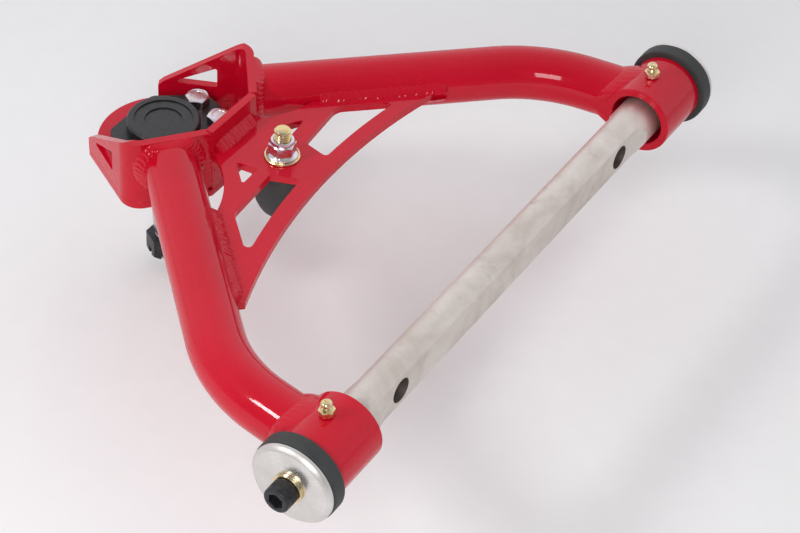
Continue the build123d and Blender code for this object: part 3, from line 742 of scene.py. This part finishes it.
# ------------------------------------------------------------------ ball joint
def joint_fasteners():
    """Hex head bolts through the flange and the plate, with their nuts below."""
    places = [(BALL.x + x, side * y) for x, y in JOINT_BOLTS for side in (-1, 1)]
    top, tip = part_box("ball_joint_bolts")[1].z / MM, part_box("ball_joint_bolts")[0].z / MM
    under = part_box("ball_joint_nuts")
    seat = top - 5.2
    bolts, nuts = ([], []), ([], [])
    for index, (x, y) in enumerate(places):
        turn = 12 + 23 * index
        rings = [(0, tip), (3.1, tip), (3.9, tip + 0.8)]
        rings += thread(3.97, 1.411, tip + 0.8, under[1].z / MM + 1)
        rings += [(3.97, seat), (5.9, seat), (6.0, seat + 0.3)]
        rings += chamfered_hex(12.7, seat + 0.35, top, turn, bottom=False)
        rings += [(4.2, top), (4.0, top - 0.25), (0, top - 0.25)]
        join(bolts, ring_mesh(rings, 72), Matrix.Translation((x, y, 0)))
        low, high = under[0].z / MM, under[1].z / MM
        facing = degrees(atan2(y, x - BALL.x))
        rings = [(4.0, low + 0.4), (4.6, low)] + chamfered_hex(12.7, low, high, facing)
        rings += [(4.6, high), (4.0, high - 0.4)]
        join(nuts, ring_mesh(closed(rings), 72), Matrix.Translation((x, y, 0)))
    piece("ball_joint_bolts_made", *bolts, "arm", "clear_zinc", ("ball_joint_bolts",))
    piece("ball_joint_nuts_made", *nuts, "arm", "clear_zinc", ("ball_joint_nuts",))


def join(target, made, matrix):
    """Adds a ring mesh to a list of points and faces."""
    start = len(target[0])
    target[0].extend(placed(made[0], matrix))
    target[1].extend(tuple(i + start for i in face) for face in made[1])


def joint_stud():
    """Head, ground shank and taper, thread relief, and a cut thread under the slotted nut."""
    there = Matrix.Translation(BALL)
    tip = (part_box("ball_stud")[0].z / MM) - BALL.z
    rings = [(0, 7.0)]
    for k in range(9):
        z = 7.0 - 6.0 * k / 8
        rings.append((sqrt(15.0 ** 2 - z ** 2), z))
    rings += [(8.75, 0.95), (8.75, -20), (8.75, -30), (8.75, -40.2), (8.68, -41.2), (7.12, -68.4),
              (6.9, -69.0), (5.75, -69.6), (5.75, -71.6), (6.2, -72.2)]
    rings += list(reversed(thread(6.35, 1.27, tip + 1.2, -72.3)))
    rings += [(5.5, tip + 0.35), (5.0, tip), (2.0, tip), (0, tip + 1.9)]
    points, faces = ring_mesh(rings, 96)
    piece("ball_stud_made", placed(points, there), faces, "stud", "stud_steel", ("ball_stud",), 40)


BOOT_OUT = [(21.9, -11.7), (22.05, -12.0), (22.0, -13.4), (22.4, -14.4), (23.6, -15.5), (24.6, -16.7),
            (24.95, -17.9), (24.75, -19.1), (23.9, -20.1), (21.9, -21.2), (19.8, -22.2), (18.9, -23.1),
            (19.2, -24.2), (21.0, -25.5), (23.4, -26.7), (24.9, -27.9), (25.4, -29.4), (25.1, -31.0),
            (23.6, -32.8), (20.6, -34.8), (17.2, -36.6), (15.3, -37.9), (14.75, -39.0), (14.6, -39.9),
            (14.1, -40.3), (10.2, -40.3), (9.0, -39.9)]
BOOT_IN = [(8.95, -38.0), (12.6, -37.2), (13.8, -35.8), (18.4, -33.3), (22.0, -31.3), (23.2, -29.6),
           (22.2, -28.2), (19.0, -26.4), (17.2, -24.6), (16.7, -23.1), (17.6, -21.6), (20.4, -20.0),
           (22.6, -18.6), (22.6, -17.4), (20.6, -15.9), (19.3, -14.9), (19.15, -11.7)]
BOOT_SPLIT = -23.1          # the groove between the two folds


def dust_boot():
    """The two folds, split at the groove between them: the upper one between housing and groove, the lower
    one below it; neither rides on a body.
    """
    there = Matrix.Translation(BALL)
    upper = [p for p in BOOT_OUT if p[1] >= BOOT_SPLIT] + [p for p in BOOT_IN if p[1] >= BOOT_SPLIT]
    lower = [p for p in BOOT_OUT if p[1] <= BOOT_SPLIT] + [p for p in BOOT_IN if p[1] <= BOOT_SPLIT]
    for label, rings in (("upper", upper), ("lower", lower)):
        points, faces = ring_mesh(closed(rings), 96)
        replaced = ("dust_boot",) if label == "upper" else ()
        fold = piece("dust_boot_" + label, placed(points, there), faces, None, "boot_rubber", replaced, 70)
        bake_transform(fold)


joint_fasteners()
joint_stud()
dust_boot()
rounded("castle_nut", 0.3)


# ------------------------------------------------------------------ stage, light and camera
WALLS = [(0.0, (0.78, 0.77, 0.80)), (0.64, (0.82, 0.81, 0.84)), (0.84, (0.62, 0.62, 0.63))]
FAR_SIDE = (0.34, -0.94, 0.0)       # the walls are brightest this way, and dim behind the camera
LAMPS = [("camera_side_lamp", (-0.360, 0.992, 0.709), (0.055, -0.147, 0.009), 0.42, 5.6),
         ("rear_lamp", (0.713, 0.915, 0.830), (0.024, 0.176, 0.0125), 0.22, 5.0)]
FLOOR_HALF, FLOOR_GAP = 6.0, 0.004  # half the floor's width, and its distance under the arm


def studio_paper():
    look = Look("studio_paper", Specular_IOR_Level=0.2)
    grain = look.noise(60, 3)
    colour = look.colour(grain, (0.3, (0.9259, 0.9259, 0.9259)), (0.7, (0.94, 0.94, 0.94)))
    return look.done(Base_Color=colour, Roughness=look.spread(grain, 0.3, 0.7, 0.75, 0.8))


def stage():
    mesh = bpy.data.meshes.new("studio_floor")
    z, corners = CAD_LOW.z - FLOOR_GAP, ((-1, -1), (1, -1), (1, 1), (-1, 1))
    mesh.from_pydata([(x * FLOOR_HALF, y * FLOOR_HALF, z) for x, y in corners], [], [(0, 1, 2, 3)])
    obj = bpy.data.objects.new("studio_floor", mesh)
    bpy.context.scene.collection.objects.link(obj)
    mesh.materials.append(studio_paper())


def lamp(name, place, aim, size, power):
    """A square lamp at a place, aimed at a point."""
    data = bpy.data.lights.new(name, "AREA")
    data.shape = "SQUARE"
    data.size, data.energy = size, power
    obj = bpy.data.objects.new(name, data)
    obj.location = place
    obj.rotation_euler = (Vector(aim) - Vector(place)).to_track_quat("-Z", "Y").to_euler()
    bpy.context.scene.collection.objects.link(obj)


def studio():
    """A light tent: bright walls, a dimmer roof, and two small lamps that give the hard glints."""
    world = bpy.data.worlds.new("studio")
    world.use_nodes = True
    tree = world.node_tree
    place = tree.nodes.new("ShaderNodeTexCoord")
    height = tree.nodes.new("ShaderNodeSeparateXYZ")
    ramp = tree.nodes.new("ShaderNodeValToRGB")
    tree.links.new(place.outputs["Generated"], height.inputs["Vector"])
    tree.links.new(height.outputs["Z"], ramp.inputs["Fac"])
    facing, shade_of = tree.nodes.new("ShaderNodeVectorMath"), tree.nodes.new("ShaderNodeMapRange")
    facing.operation = "DOT_PRODUCT"
    facing.inputs[1].default_value = FAR_SIDE
    tree.links.new(place.outputs["Generated"], facing.inputs[0])
    tree.links.new(facing.outputs["Value"], shade_of.inputs["Value"])
    for socket, value in (("From Min", -0.7), ("From Max", 0.5), ("To Min", 0.28), ("To Max", 1.25)):
        shade_of.inputs[socket].default_value = value
    tree.links.new(ramp.outputs["Color"], tree.nodes["Background"].inputs["Color"])
    tree.links.new(shade_of.outputs["Result"], tree.nodes["Background"].inputs["Strength"])
    ramp.color_ramp.elements.new(0.8)
    for element, (at_height, rgb) in zip(ramp.color_ramp.elements, WALLS):
        element.position = at_height
        element.color = (*rgb, 1)
    bpy.context.scene.world = world
    for row in LAMPS:
        lamp(*row)
    bpy.context.scene.view_settings.view_transform = "Standard"


def camera():
    """Above the rear, inboard side, looking down the shaft to the outboard end."""
    azimuth, elevation, roll = radians(30.22), radians(42.12), radians(-3.88)
    distance, zoom, to_left, to_low = 1.29, 107.4, 0.0557, 0.00297
    back = Vector((-sin(azimuth) * cos(elevation), cos(azimuth) * cos(elevation), sin(elevation)))
    right = (-back).cross(Vector((0, 0, 1))).normalized()
    down = (-back).cross(right)
    right, down = cos(roll) * right + sin(roll) * down, -sin(roll) * right + cos(roll) * down
    data = bpy.data.cameras.new("camera")
    data.lens, data.sensor_width = zoom, 36
    data.clip_start, data.clip_end = 0.05, 50
    obj = bpy.data.objects.new("camera", data)
    turn = Matrix((right, -down, back)).transposed()
    place = back * distance - right * to_left + down * to_low
    obj.matrix_world = Matrix.Translation(place) @ turn.to_4x4()
    bpy.context.scene.collection.objects.link(obj)
    bpy.context.scene.camera = obj


stage()
studio()
camera()
